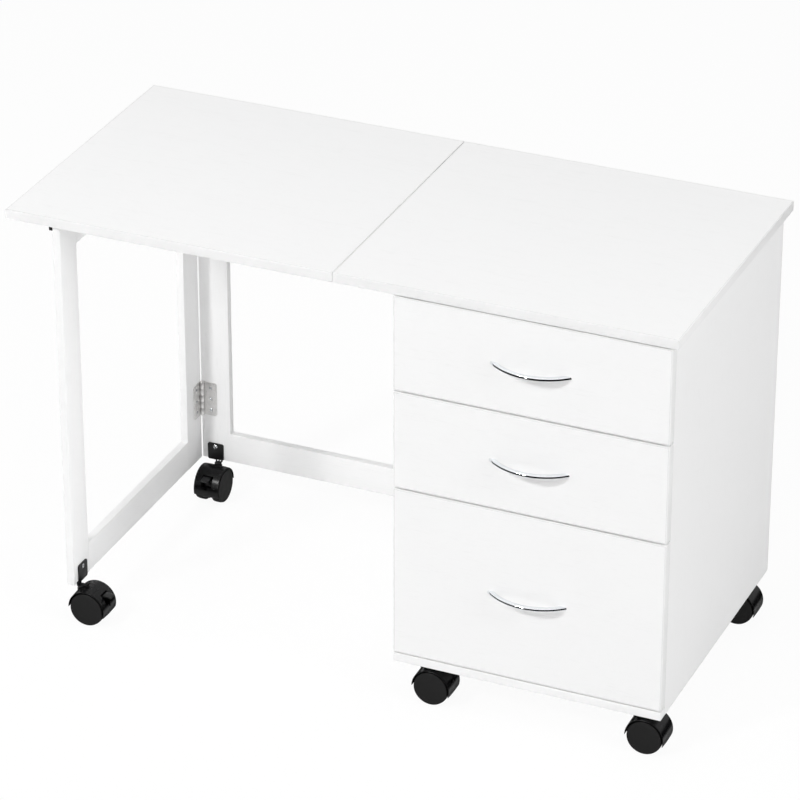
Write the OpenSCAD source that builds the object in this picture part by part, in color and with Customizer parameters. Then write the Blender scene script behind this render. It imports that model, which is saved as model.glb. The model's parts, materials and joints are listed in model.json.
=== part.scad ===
// Folding desk on casters. Half of the top sits on a drawer cabinet and half is a leaf
// that rests on two hinged slat frames. Millimetres, +Z up, floor at z = 0,
// origin under the middle of the whole desk, front towards -Y.

/* [Desktop] */
// Length of the whole top, fixed half and leaf together
top_l = 1120; // [1050:10:1200]
// Depth of the top, front to back
top_d = 520; // [515:5:560]
// Thickness of the top boards
top_t = 16; // [15:1:20]
// Height of the top surface above the floor
desk_h = 732; // [720:1:760]
// Open seam between the fixed half and the leaf
seam_gap = 0.8; // [0.6:0.1:1.2]
// Radius of the corners of the top, seen from above
top_corner_r = 2; // [1:0.5:4]

/* [Cabinet] */
// Outside width of the cabinet
cabinet_w = 450; // [430:5:470]
// Overhang of the top past the cabinet's right side
right_overhang = 10; // [5:1:20]
// How far the drawer fronts stand behind the top's front edge
front_setback = 2; // [1:1:6]
// Overhang of the top behind the cabinet
back_overhang = 13; // [8:1:20]
// Thickness of the cabinet boards
board_t = 15; // [12:1:18]
// Thickness of the back panel
back_panel_t = 3; // [3:1:6]
// Height of the cabinet's underside above the floor
base_z = 67; // [65:1:70]
// Width of each rail under the top
top_rail_w = 80; // [50:5:100]
// Shadow gap between the side panels and the top
shadow_gap = 0.8; // [0.4:0.1:1.5]

/* [Drawers] */
// Height of the top drawer's front
top_front_h = 161; // [140:1:180]
// Height of the middle drawer's front
middle_front_h = 167; // [140:1:190]
// Gap between the top and the top drawer's front
under_top_gap = 3; // [2:0.5:5]
// Gap between neighbouring fronts
front_gap = 3; // [2:0.5:4]
// Gap between the lowest front and the base board
base_gap = 2; // [1.5:0.5:4]
// Gap between the drawer fronts and the side panels behind them
front_back_gap = 1; // [0.5:0.1:1.5]
// Thickness of the drawer box sides and back
box_t = 12; // [10:1:15]
// Room between the drawer boxes and the back panel
box_back_gap = 47; // [30:1:60]
// How much lower each box is than its front, top and bottom together
box_drop = 43; // [40:1:60]
// Height of the box above the lower edge of its front
box_lift = 16; // [14:1:20]
// Thickness of the drawer bottoms
bottom_t = 3; // [3:1:6]
// Height of the drawer bottom above the lower edge of the box sides
bottom_lift = 8; // [6:1:12]
// Depth of the grooves that hold the drawer bottom
groove_d = 5; // [3:1:6]

/* [Runners] */
// Width left for the runner on each side of a drawer box
runner_space = 12.5; // [12:0.5:14]
// Height of a runner channel
runner_h = 35; // [30:1:45]
// Sheet thickness of the runners
runner_t = 1.2; // [1:0.1:1.5]
// Length of the cabinet runner
runner_l = 400; // [350:10:430]
// Running gap in the runners
runner_gap = 0.3; // [0.2:0.1:0.5]

/* [Handles] */
// Span of a bow handle along the drawer front
handle_span = 120; // [96:1:160]
// How far the middle of the bow stands off the drawer front
handle_out = 27; // [24:1:32]
// Thickness of the bow, front to back
handle_t = 8.5; // [7:0.5:10]
// Height of the bow
handle_h = 5; // [4:0.5:7]

/* [Slat frames] */
// Thickness of the slats
slat_t = 13; // [12:0.5:16]
// Width of the slats
slat_w = 53; // [45:1:60]
// Height of the frames' lower edge above the floor
frame_z = 65; // [65:1:68]
// Gap between the frames and the leaf that rests on them
leaf_rest_gap = 0.4; // [0.3:0.1:0.6]
// Distance from the top's left edge to the end frame's outer face
end_inset = 77; // [70:1:100]
// Distance from the top's front edge to the end frame
end_setback = 9; // [6:1:15]
// Distance from the cabinet's back to the back frame's rear face
back_inset = 6; // [4:1:10]
// Gap between the end frame's rear edge and the back frame's front plane
corner_gap = 2; // [1.5:0.5:3]
// Gap between the end frame's inner face and the back frame's left edge
corner_side_gap = 1; // [0.6:0.1:2]
// Width of the hinge post on the cabinet's left side
post_w = 22; // [21:0.5:26]
// Gap between the back frame and the hinge post
post_gap = 1; // [0.6:0.1:1.5]

/* [Butt hinges] */
// Height of a butt hinge
hinge_h = 63; // [50:1:76]
// Leaf width of the corner hinges
corner_leaf_w = 26; // [22:1:30]
// Leaf width of the cabinet hinges
cabinet_leaf_w = 20; // [18:1:21]
// Thickness of the hinge leaves
leaf_plate_t = 1.4; // [1:0.1:1.6]
// Distance from the hinge axis to the slat faces
hinge_off = 4; // [4:0.5:5]
// Radius of the knuckles
knuckle_r = 3.6; // [3.2:0.1:3.6]
// Radius of the hinge pins
pin_r = 1.6; // [1.4:0.1:1.8]
// Height of the lower hinges' middle above the floor
low_hinge_z = 180; // [160:1:220]
// Spacing of the screws along a hinge leaf
hinge_screw_step = 21; // [18:1:22]

/* [Leaf hinges] */
// Height of the leaf hinge axis above the top surface
leaf_axis_up = 0.5; // [0.4:0.1:0.8]
// Radius of the concealed hinge barrels
barrel_r = 6; // [5:0.5:6]
// Length of each barrel
barrel_l = 20; // [16:1:24]
// Distance from the top's front and back edges to the outer barrels
barrel_inset = 60; // [40:5:90]

/* [Casters] */
// Wheel diameter
wheel_d = 59; // [56:1:59]
// Width of each wheel
wheel_w = 15; // [14:0.5:16]
// Width of the caster over both wheels
caster_w = 46; // [46:1:54]
// Distance from the swivel axis to the axle
trail = 18.5; // [17:0.5:22]
// Distance from the cabinet's sides to the swivel axes
caster_inset = 45; // [42:1:60]
// Distance from the top's front edge to the front casters' swivel axes
front_caster_y = 24; // [22:1:45]
// Distance from the cabinet's back to the rear casters' swivel axes
rear_caster_inset = 58; // [45:1:60]
// Distance from the slat face to the swivel axis of a frame caster
bracket_stem_off = 5.5; // [4:0.5:6]
// Distance from the end frame's front edge to its caster's swivel axis
end_caster_in = 14; // [14:1:24]
// Distance from the back frame's left edge to its caster's swivel axis
back_caster_in = 31; // [24:1:32]
// How far the end frame's bracket plate lies off its swivel axis, towards the frames' corner
end_plate_shift = 14; // [7:0.5:14]
// How far the back frame's bracket plate lies off its swivel axis, towards the frames' corner
back_plate_shift = 6; // [0:0.5:6]
// Width of a brake pedal
brake_pedal_w = 14; // [11:1:15]

/* [Hidden] */
$fn = 72;
eps = 0.01;
clear = 0.05;
joint_gap = 0.02;

white = "#f4f4f2";
white_side = "#ececea";
carcass = "#e2e0dc";
steel = "#b9bcc0";
chrome = "#d5d8dc";
black = "#2b2b2b";

// Main lines of the desk
left_x = -top_l / 2;
right_x = top_l / 2;
front_y = -(top_d - (handle_out - front_setback)) / 2;
back_y = front_y + top_d;
top_z = desk_h - top_t;
seam_x = 0;

// Cabinet
cab_right = right_x - right_overhang;
cab_left = cab_right - cabinet_w;
cab_back = back_y - back_overhang;
fronts_y = front_y + front_setback;
panel_front_y = fronts_y + board_t + front_back_gap;
panel_back_y = cab_back - back_panel_t;
base_top = base_z + board_t;
panel_top = top_z - shadow_gap;
inner_left = cab_left + board_t;
inner_right = cab_right - board_t;
inner_w = inner_right - inner_left;

back_panel_inset = 1;

// Drawers, numbered from the top; the bottom front fills the height that is left
all_fronts_h = top_z - under_top_gap - base_top - base_gap - 2 * front_gap;
front_hs = [top_front_h, middle_front_h, all_fronts_h - top_front_h - middle_front_h];
function fronts_above(i) = i == len(front_hs) - 1 ? 0 : front_hs[i + 1] + front_gap + fronts_above(i + 1);
function front_z(i) = base_top + base_gap + fronts_above(i);
function box_z(i) = front_z(i) + box_lift;
function box_h(i) = front_hs[i] - box_drop;
box_left = inner_left + runner_space;
box_right = inner_right - runner_space;
box_front_y = fronts_y + board_t;
box_back_y = panel_back_y - box_back_gap;
drawer_mid_x = (cab_left + cab_right) / 2;
bottom_slack = 0.2;
function runner_z(i) = box_z(i) + (box_h(i) - runner_h) / 2;

// Runners: the channel on the panel stands clear of the box, and the one on the box of the channel's web
channel_box_gap = 2;
channel_setback = 2;
runner_web_gap = 0.4;
runner_setback = 3;
runner_shorter = 5;

// Handle bow: a circle arc whose chord is the span and whose rise is bow_rise
bow_rise = handle_out - handle_t / 2;
bow_r = (pow(handle_span / 2, 2) + pow(bow_rise, 2)) / (2 * bow_rise);
bow_half_angle = asin((handle_span / 2 + handle_t) / bow_r);

// Slat frames
frame_top = top_z - leaf_rest_gap;
back_face_y = cab_back - back_inset - slat_t;
end_outer_x = left_x + end_inset;
end_face_x = end_outer_x + slat_t;
end_front_y = front_y + end_setback;
end_rear_y = back_face_y - corner_gap;
back_left_x = end_face_x + corner_side_gap;
cab_axis_x = cab_left - post_w - post_gap / 2;
back_right_x = cab_axis_x - post_gap / 2;
corner_axis = [end_face_x + hinge_off, back_face_y - hinge_off];
cab_axis = [cab_axis_x, back_face_y - hinge_off];
high_hinge_z = frame_top - (low_hinge_z - frame_z);
hinge_zs = [low_hinge_z, high_hinge_z];
knuckle_count = 5;
knuckle_l = hinge_h / knuckle_count;
knuckle_gap = 0.3;
knuckle_side_gap = 0.4;
hinge_corner_r = 4;
function hinge_screw_x(leaf_w) = (knuckle_r + leaf_w) / 2;

// Wood screws
screw_r = 1.5;
screw_l = 10;
screw_head_r = 3;
screw_head_t = 0.9;
screw_tip_space = 1;
bracket_screw_head_r = 4;
bracket_screw_head_t = 1.4;
head_taper = 0.7;

// Leaf hinges
leaf_axis_z = desk_h + leaf_axis_up;
barrel_z = desk_h - top_t / 2;
barrel_ys = [front_y + barrel_inset, front_y + top_d / 2, back_y - barrel_inset];
barrel_clear = 0.1;
tongue_t = 3;
tongue_h = 6;
tongue_reach = 4;
tongue_root = 1;
tongue_gap = 0.3;
tongue_end_gap = 1.2;
tongue_top_gap = 0.6;

// Leaf stop
stop_size = [6, 14, 11];
stop_gap = 0.4;
stop_corner_r = 1;

// Casters: swivel axis position and direction of trail, in the order of CASTERS
CASTERS = ["end", "back", "front_left", "front_right", "rear_left", "rear_right"];
end_stem = [end_face_x + bracket_stem_off, end_front_y + end_caster_in];
back_stem = [back_left_x + back_caster_in, back_face_y - bracket_stem_off];
rear_stem_y = cab_back - rear_caster_inset;
stems = [end_stem, back_stem,
    [cab_left + caster_inset, front_y + front_caster_y], [cab_right - caster_inset, front_y + front_caster_y],
    [cab_left + caster_inset, rear_stem_y], [cab_right - caster_inset, rear_stem_y]];
trail_turns = [0, -90, 0, 0, 0, 0];
wheel_r = wheel_d / 2;
wheel_round = 1.5;
wheel_space = caster_w - 2 * wheel_w;
hood_gap = 2;
hood_t = 1.5;
hood_r = wheel_r + hood_gap + hood_t;
hood_core_gap = 1.5;
hood_core_w = wheel_space - 2 * hood_core_gap;
hood_core_r = hood_r - hood_t / 2;
hood_core_drop = 12;
hood_low_angle = -17;
axle_r = 3;
stem_r = 3.5;
socket_gap = 1;
socket_r = wheel_space / 2 - socket_gap;
socket_rise = 0.5;
socket_top = wheel_r + sqrt(pow(hood_r, 2) - pow(trail, 2)) + socket_rise;
socket_bottom = 32;
stem_bottom = 36;
neck_r = socket_r - 1;
neck_gap = 0.4;
neck_bottom = socket_top + neck_gap;
flange_r = 11;
flange_t = 2.5;
bracket_w = 29;
bracket_t = 2.5;
bracket_h = 31;
bracket_corner_r = 3;
bracket_drop = 0.8;
bracket_screw_down = 6.5;
bracket_screw_z = frame_z - bracket_drop + bracket_h - bracket_screw_down;
bracket_neck_w = 12;
bracket_neck_bottom = frame_z - 3.8;
lap = 1;

// Brake lever, measured from its pivot in the hood: level at rest, with a narrow arm and a pedal that
// stands a little higher and comes out through a window in the hood
brake_place = [trail + 14, wheel_r + 20.5];
brake_pin_r = 1.5;
brake_pin_gap = 1;
brake_arm_w = 8;
brake_arm_t = 3;
brake_arm_l = 13;
brake_pedal_start = 9;
brake_pedal_l = 16;
brake_pedal_low = 0.5;
brake_pedal_t = 3.5;
brake_corner_r = 1.5;
brake_hub_r = 3;
brake_travel = 18;
brake_over_travel = 4;
brake_slot_gap = 0.4;
brake_slot_l = 12;
brake_window_w = 20;
brake_window_angles = [15, 51];
brake_window_depth = 11;
brake_notch_w = 4;
brake_notch_angles = [5, 16];
brake_notch_depth = 3.5;

module board(low, high) {
    translate(low) cube(high - low);
}

module rounded_rect(size, r) {
    translate([r, 0]) square([size[0] - 2 * r, size[1]]);
    translate([0, r]) square([size[0], size[1] - 2 * r]);
    for (x = [r, size[0] - r], y = [r, size[1] - r]) translate([x, y]) circle(r);
}

// Desktop

module top_board(x0, x1) {
    translate([x0, front_y, top_z])
        linear_extrude(top_t)
            rounded_rect([x1 - x0, top_d], top_corner_r);
}

module barrel_bores() {
    for (y = barrel_ys)
        translate([seam_x, y, barrel_z])
            rotate([0, 90, 0])
                cylinder(h = 2 * (barrel_l + seam_gap), r = barrel_r + barrel_clear, center = true);
}

module fixed_top() {
    color(white)
        difference() {
            top_board(seam_x + seam_gap / 2, right_x);
            barrel_bores();
        }
}

module leaf_top() {
    color(white)
        difference() {
            top_board(left_x, seam_x - seam_gap / 2);
            barrel_bores();
        }
}

module leaf_hinges_fixed() {
    color(steel)
        for (y = barrel_ys)
            translate([seam_x, y, barrel_z])
                difference() {
                    translate([seam_gap / 2, 0, 0])
                        rotate([0, 90, 0])
                            cylinder(h = barrel_l, r = barrel_r);
                    translate([-eps, -tongue_t / 2 - tongue_gap, -barrel_r])
                        cube([tongue_reach + tongue_end_gap, tongue_t + 2 * tongue_gap,
                            barrel_r + tongue_h / 2 + tongue_top_gap]);
                }
}

module leaf_hinges_moving() {
    color(steel)
        for (y = barrel_ys)
            translate([seam_x, y, barrel_z]) {
                translate([-seam_gap / 2, 0, 0])
                    rotate([0, -90, 0])
                        cylinder(h = barrel_l, r = barrel_r);
                translate([-seam_gap / 2 - tongue_root, -tongue_t / 2, -tongue_h / 2])
                    cube([tongue_reach + seam_gap / 2 + tongue_root, tongue_t, tongue_h]);
            }
}

module leaf_stop() {
    stop_x = end_outer_x - stop_gap - stop_size[0];
    color(black)
        translate([stop_x, end_front_y, top_z - stop_size[2]])
            linear_extrude(stop_size[2])
                rounded_rect([stop_size[0], stop_size[1]], stop_corner_r);
}

// Cabinet

module side_panel_left() {
    color(white_side)
        board([cab_left, panel_front_y, base_z], [inner_left, panel_back_y, panel_top]);
}

module side_panel_right() {
    color(white_side)
        board([inner_right, panel_front_y, base_z], [cab_right, panel_back_y, panel_top]);
}

module back_panel() {
    color(carcass)
        board([cab_left + back_panel_inset, panel_back_y, base_z + back_panel_inset],
            [cab_right - back_panel_inset, cab_back, panel_top]);
}

module bottom_board() {
    color(white_side)
        board([inner_left, panel_front_y, base_z], [inner_right, panel_back_y, base_top]);
}

module base_front_board() {
    color(white)
        board([cab_left, fronts_y, base_z], [cab_right, panel_front_y, base_top]);
}

module top_rails() {
    color(carcass) {
        board([inner_left, panel_front_y, top_z - board_t], [inner_right, panel_front_y + top_rail_w, top_z]);
        board([inner_left, panel_back_y - top_rail_w, top_z - board_t], [inner_right, panel_back_y, top_z]);
    }
}

module hinge_post() {
    color(white)
        difference() {
            board([cab_left - post_w, back_face_y, frame_z], [cab_left, back_face_y + slat_t, frame_top]);
            cabinet_screw_places(1) screw_hole();
        }
}

// A runner channel, open towards +X, with its low front corner at the origin
module channel(depth, height, length) {
    cube([runner_t, length, height]);
    cube([depth, length, runner_t]);
    translate([0, 0, height - runner_t]) cube([depth, length, runner_t]);
}

module runner_channels() {
    depth = runner_space - channel_box_gap;
    color(steel)
        for (i = [0:len(front_hs) - 1]) {
            translate([inner_left, panel_front_y + channel_setback, runner_z(i)])
                channel(depth, runner_h, runner_l);
            translate([inner_right, panel_front_y + channel_setback, runner_z(i)])
                mirror([1, 0, 0])
                    channel(depth, runner_h, runner_l);
        }
}

// Drawers

module drawer_front(i) {
    color(white)
        difference() {
            board([cab_left, fronts_y, front_z(i)], [cab_right, box_front_y, front_z(i) + front_hs[i]]);
            board([box_left + box_t - groove_d, box_front_y - groove_d, box_z(i) + bottom_lift - clear],
                [box_right - box_t + groove_d, box_front_y + lap, box_z(i) + bottom_lift + bottom_t + clear]);
        }
}

module drawer_box(i) {
    z0 = box_z(i);
    z1 = z0 + box_h(i);
    color(carcass)
        difference() {
            union() {
                board([box_left, box_front_y, z0], [box_left + box_t, box_back_y, z1]);
                board([box_right - box_t, box_front_y, z0], [box_right, box_back_y, z1]);
                board([box_left + box_t + joint_gap, box_back_y - box_t, z0],
                    [box_right - box_t - joint_gap, box_back_y, z1]);
            }
            board([box_left + box_t - groove_d, box_front_y - lap, z0 + bottom_lift - clear],
                [box_right - box_t + groove_d, box_back_y - box_t + groove_d, z0 + bottom_lift + bottom_t + clear]);
        }
}

module drawer_bottom(i) {
    z0 = box_z(i) + bottom_lift;
    reach = groove_d - bottom_slack;
    color(carcass)
        board([box_left + box_t - reach, box_front_y - reach, z0],
            [box_right - box_t + reach, box_back_y - box_t + reach, z0 + bottom_t]);
}

module drawer_runners(i) {
    depth = runner_space - runner_t - runner_web_gap;
    height = runner_h - 2 * runner_t - 2 * runner_gap;
    z0 = runner_z(i) + runner_t + runner_gap;
    color(steel) {
        translate([box_left, box_front_y + runner_setback, z0])
            mirror([1, 0, 0])
                channel(depth, height, runner_l - runner_shorter);
        translate([box_right, box_front_y + runner_setback, z0])
            channel(depth, height, runner_l - runner_shorter);
    }
}

module handle(i) {
    mid_z = front_z(i) + front_hs[i] / 2;
    color(chrome)
        translate([drawer_mid_x, fronts_y, mid_z])
            difference() {
                translate([0, bow_r - bow_rise, 0])
                    rotate([0, 0, -90 - bow_half_angle])
                        rotate_extrude(angle = 2 * bow_half_angle)
                            translate([bow_r - handle_t / 2, -handle_h / 2])
                                rounded_rect([handle_t, handle_h], min(handle_t, handle_h) / 2 - clear);
                translate([-handle_span, 0, -handle_h])
                    cube([2 * handle_span, 4 * handle_t, 2 * handle_h]);
            }
}

// Slat frames

module back_frame_slat(x0, x1, z0, z1) {
    board([x0, back_face_y, z0], [x1, back_face_y + slat_t, z1]);
}

module end_frame_slat(y0, y1, z0, z1) {
    board([end_outer_x, y0, z0], [end_face_x, y1, z1]);
}

module back_left_stile() {
    color(white)
        difference() {
            back_frame_slat(back_left_x, back_left_x + slat_w, frame_z, frame_top);
            corner_screw_places(1) screw_hole();
            bracket_screw_place(1) screw_hole();
        }
}

module back_right_stile() {
    color(white)
        difference() {
            back_frame_slat(back_right_x - slat_w, back_right_x, frame_z, frame_top);
            cabinet_screw_places(-1) screw_hole();
        }
}

module back_top_rail() {
    color(white)
        back_frame_slat(back_left_x + slat_w, back_right_x - slat_w, frame_top - slat_w, frame_top);
}

module back_bottom_rail() {
    color(white)
        back_frame_slat(back_left_x + slat_w, back_right_x - slat_w, frame_z, frame_z + slat_w);
}

module end_front_stile() {
    color(white)
        difference() {
            end_frame_slat(end_front_y, end_front_y + slat_w, frame_z, frame_top);
            bracket_screw_place(0) screw_hole();
        }
}

module end_rear_stile() {
    color(white)
        difference() {
            end_frame_slat(end_rear_y - slat_w, end_rear_y, frame_z, frame_top);
            corner_screw_places(0) screw_hole();
        }
}

module end_top_rail() {
    color(white)
        end_frame_slat(end_front_y + slat_w, end_rear_y - slat_w, frame_top - slat_w, frame_top);
}

module end_bottom_rail() {
    color(white)
        end_frame_slat(end_front_y + slat_w, end_rear_y - slat_w, frame_z, frame_z + slat_w);
}

// Butt hinges. A leaf lies in the XZ plane on the side of +Y, with its pin on the Z axis

module knuckles(from) {
    for (k = [from:2:knuckle_count - 1])
        translate([0, 0, -hinge_h / 2 + k * knuckle_l + knuckle_gap / 2])
            cylinder(h = knuckle_l - knuckle_gap, r = knuckle_r);
}

module hinge_leaf(leaf_w, from, pinned) {
    other = 1 - from;
    difference() {
        translate([0, hinge_off, -hinge_h / 2])
            rotate([90, 0, 0])
                linear_extrude(leaf_plate_t)
                    union() {
                        square([leaf_w / 2, hinge_h]);
                        rounded_rect([leaf_w, hinge_h], hinge_corner_r);
                    }
        for (k = [other:2:knuckle_count - 1])
            translate([0, 0, -hinge_h / 2 + k * knuckle_l - knuckle_gap / 2])
                cylinder(h = knuckle_l + knuckle_gap, r = knuckle_r + knuckle_side_gap);
        hinge_leaf_screws(leaf_w) screw_hole();
    }
    difference() {
        knuckles(from);
        if (!pinned) translate([0, 0, -hinge_h]) cylinder(h = 2 * hinge_h, r = pin_r + clear);
    }
    if (pinned) translate([0, 0, -hinge_h / 2]) cylinder(h = hinge_h, r = pin_r);
}

// Puts its child at each screw of a leaf: +Z into the wood, z = 0 on the leaf's outer face
module hinge_leaf_screws(leaf_w) {
    for (side = [-1:1])
        translate([hinge_screw_x(leaf_w), hinge_off - leaf_plate_t, side * hinge_screw_step])
            rotate([-90, 0, 0])
                children();
}

// side 1 lies on the back frame, side 0 on the end frame
module at_corner_hinges(side) {
    for (z = hinge_zs)
        translate([corner_axis[0], corner_axis[1], z])
            if (side == 1) children();
            else rotate([0, 0, 90]) mirror([1, 0, 0]) children();
}

// side 1 lies on the post, side -1 on the back frame
module at_cabinet_hinges(side) {
    for (z = hinge_zs)
        translate([cab_axis[0], cab_axis[1], z])
            if (side == 1) children();
            else mirror([1, 0, 0]) children();
}

module corner_screw_places(side) {
    at_corner_hinges(side) hinge_leaf_screws(corner_leaf_w) children();
}

module cabinet_screw_places(side) {
    at_cabinet_hinges(side) hinge_leaf_screws(cabinet_leaf_w) children();
}

module screw_hole() {
    translate([0, 0, -lap]) cylinder(h = lap + screw_l + screw_tip_space, r = screw_r + clear);
}

module screw(head_r, head_t) {
    cylinder(h = screw_l, r = screw_r);
    translate([0, 0, -head_t]) cylinder(h = head_t, r1 = head_r * head_taper, r2 = head_r);
}

module corner_hinge_back() {
    color(steel) at_corner_hinges(1) hinge_leaf(corner_leaf_w, 0, true);
}

module corner_hinge_end() {
    color(steel) at_corner_hinges(0) hinge_leaf(corner_leaf_w, 1, false);
}

module cabinet_hinge_fixed() {
    color(steel) at_cabinet_hinges(1) hinge_leaf(cabinet_leaf_w, 0, true);
}

module cabinet_hinge_moving() {
    color(steel) at_cabinet_hinges(-1) hinge_leaf(cabinet_leaf_w, 1, false);
}

module post_screws() {
    color(steel) cabinet_screw_places(1) screw(screw_head_r, screw_head_t);
}

module back_frame_screws() {
    color(steel) {
        cabinet_screw_places(-1) screw(screw_head_r, screw_head_t);
        corner_screw_places(1) screw(screw_head_r, screw_head_t);
        bracket_screw_place(1) screw(bracket_screw_head_r, bracket_screw_head_t);
    }
}

module end_frame_screws() {
    color(steel) {
        corner_screw_places(0) screw(screw_head_r, screw_head_t);
        bracket_screw_place(0) screw(bracket_screw_head_r, bracket_screw_head_t);
    }
}

// Casters. Each is drawn with its swivel axis on Z and its trail towards +X

module at_caster(i) {
    translate([stems[i][0], stems[i][1], 0]) rotate([0, 0, trail_turns[i]]) children();
}

module along_y(r, w) {
    rotate([90, 0, 0]) cylinder(h = w, r = r, center = true);
}

module stem() {
    translate([0, 0, stem_bottom]) cylinder(h = neck_bottom - stem_bottom + lap, r = stem_r);
}

module caster_plates() {
    color(black)
        for (i = [2:5])
            at_caster(i) {
                translate([0, 0, base_z - flange_t]) cylinder(h = flange_t, r = flange_r);
                translate([0, 0, neck_bottom]) cylinder(h = base_z - flange_t / 2 - neck_bottom, r = neck_r);
                stem();
            }
}

// The frame casters' bracket: a plate on the slat's face, which narrows to a neck below the slat
// and stands on a round stem. Here the slat's face is the plane y = bracket_stem_off and the
// plate lies on its -Y side
module bracket(shift) {
    translate([0, bracket_stem_off, 0])
        rotate([90, 0, 0])
            linear_extrude(bracket_t)
                difference() {
                    union() {
                        translate([shift - bracket_w / 2, frame_z - bracket_drop])
                            rounded_rect([bracket_w, bracket_h], bracket_corner_r);
                        translate([-bracket_neck_w / 2, bracket_neck_bottom])
                            square([bracket_neck_w, frame_z + bracket_corner_r - bracket_neck_bottom]);
                    }
                    translate([shift, bracket_screw_z]) circle(screw_r + clear);
                }
    translate([0, 0, neck_bottom]) cylinder(h = bracket_neck_bottom + lap - neck_bottom, r = neck_r);
    stem();
}

// frame 1 is the back frame, frame 0 the end frame, whose plate faces +X
module at_bracket(frame) {
    place = frame == 1 ? back_stem : end_stem;
    translate([place[0], place[1], 0]) rotate([0, 0, frame == 1 ? 0 : 90]) children();
}

function bracket_shift(frame) = frame == 1 ? -back_plate_shift : end_plate_shift;

module bracket_screw_place(frame) {
    at_bracket(frame)
        translate([bracket_shift(frame), bracket_stem_off - bracket_t, bracket_screw_z])
            rotate([-90, 0, 0])
                children();
}

module bracket_end() {
    color(black) at_bracket(0) bracket(bracket_shift(0));
}

module bracket_back() {
    color(black) at_bracket(1) bracket(bracket_shift(1));
}

// Two triangles that cut the open lower part out of the hood: from hood_low_angle below the
// trailing side to level with the axle on the stem side
module hood_open_part() {
    far = 3 * hood_r;
    polygon([[0, 0], [far * cos(hood_low_angle), far * sin(hood_low_angle)], [0, -far], [-far, -far], [-far, 0]]);
}

// Extrudes a side view of the hood, drawn about the axle, across the given width
module hood_side(w) {
    translate([trail, 0, wheel_r]) rotate([90, 0, 0]) linear_extrude(w, center = true) children();
}

module hood(i, braked) {
    color(black)
        at_caster(i)
            difference() {
                union() {
                    hood_side(caster_w)
                        difference() {
                            circle(hood_r);
                            circle(hood_r - hood_t);
                            hood_open_part();
                        }
                    hood_side(hood_core_w)
                        difference() {
                            circle(hood_core_r);
                            translate([-hood_r, -hood_r - hood_core_drop]) square([2 * hood_r, hood_r]);
                        }
                    translate([0, 0, socket_bottom]) cylinder(h = socket_top - socket_bottom, r = socket_r);
                }
                translate([0, 0, stem_bottom - lap]) cylinder(h = 2 * hood_r, r = stem_r + clear);
                translate([0, 0, socket_top]) cylinder(h = hood_r, r = neck_r + neck_gap);
                translate([trail, 0, wheel_r]) along_y(axle_r + clear, caster_w);
                if (braked) brake_room();
            }
}

// The wedge that the lever's line sweeps from pressed to released, as far as the given length
module brake_wedge(length, half_t) {
    low = -brake_travel - brake_over_travel;
    polygon([[half_t * sin(low), -half_t * cos(low)],
        [length * cos(low) + half_t * sin(low), length * sin(low) - half_t * cos(low)],
        [length, half_t], [0, half_t]]);
}

// A sector of the hood's side view between two angles, from the given depth below its surface outwards
module hood_sector(angles, depth) {
    near = hood_r - depth;
    far = 2 * hood_r;
    polygon([[near * cos(angles[0]), near * sin(angles[0])], [far * cos(angles[0]), far * sin(angles[0])],
        [far * cos(angles[1]), far * sin(angles[1])], [near * cos(angles[1]), near * sin(angles[1])]]);
}

// What the hood is open for: the lever's pin and hub, its arm, and the window that its pedal moves in
module brake_room() {
    slot_w = brake_arm_w + 2 * brake_slot_gap;
    half_t = brake_arm_t / 2 + brake_slot_gap;
    translate([brake_place[0], 0, brake_place[1]]) {
        along_y(brake_pin_r + clear, caster_w);
        along_y(brake_hub_r + brake_slot_gap, slot_w);
        rotate([90, 0, 0]) linear_extrude(slot_w, center = true) brake_wedge(brake_slot_l, half_t);
    }
    hood_side(brake_window_w) hood_sector(brake_window_angles, brake_window_depth);
    hood_side(brake_notch_w) hood_sector(brake_notch_angles, brake_notch_depth);
}

module wheel() {
    rotate([90, 0, 0])
        rotate_extrude()
            union() {
                square([wheel_r - wheel_round, wheel_w]);
                translate([0, wheel_round]) square([wheel_r, wheel_w - 2 * wheel_round]);
                for (y = [wheel_round, wheel_w - wheel_round])
                    translate([wheel_r - wheel_round, y]) circle(wheel_round);
            }
}

module wheels(i) {
    color(black)
        at_caster(i)
            translate([trail, 0, wheel_r]) {
                translate([0, -caster_w / 2 + wheel_w, 0]) wheel();
                mirror([0, 1, 0]) translate([0, -caster_w / 2 + wheel_w, 0]) wheel();
                along_y(axle_r, wheel_space - 2 * joint_gap);
            }
}

module brake(i) {
    color(black)
        at_caster(i)
            translate([brake_place[0], 0, brake_place[1]]) {
                along_y(brake_pin_r, hood_core_w - brake_pin_gap);
                along_y(brake_hub_r, brake_arm_w);
                translate([0, -brake_arm_w / 2, -brake_arm_t / 2]) cube([brake_arm_l, brake_arm_w, brake_arm_t]);
                translate([brake_pedal_start, -brake_pedal_w / 2, brake_pedal_low])
                    linear_extrude(brake_pedal_t)
                        rounded_rect([brake_pedal_l, brake_pedal_w], brake_corner_r);
            }
}

fixed_top();
leaf_top();
leaf_hinges_fixed();
leaf_hinges_moving();
leaf_stop();
side_panel_left();
side_panel_right();
back_panel();
bottom_board();
base_front_board();
top_rails();
runner_channels();
hinge_post();
for (i = [0:2]) {
    drawer_front(i);
    drawer_box(i);
    drawer_bottom(i);
    drawer_runners(i);
    handle(i);
}
back_left_stile();
back_right_stile();
back_top_rail();
back_bottom_rail();
end_front_stile();
end_rear_stile();
end_top_rail();
end_bottom_rail();
cabinet_hinge_fixed();
cabinet_hinge_moving();
corner_hinge_back();
corner_hinge_end();
post_screws();
back_frame_screws();
end_frame_screws();
caster_plates();
bracket_end();
bracket_back();
for (i = [0:5]) {
    hood(i, i < 2);
    wheels(i);
    if (i < 2) brake(i);
}
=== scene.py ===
"""A white folding desk on casters: laminated boards, chrome bow handles, steel hinges, nylon casters."""
import json
import math
import bmesh
import bpy
from mathutils import Matrix, Vector


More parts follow.
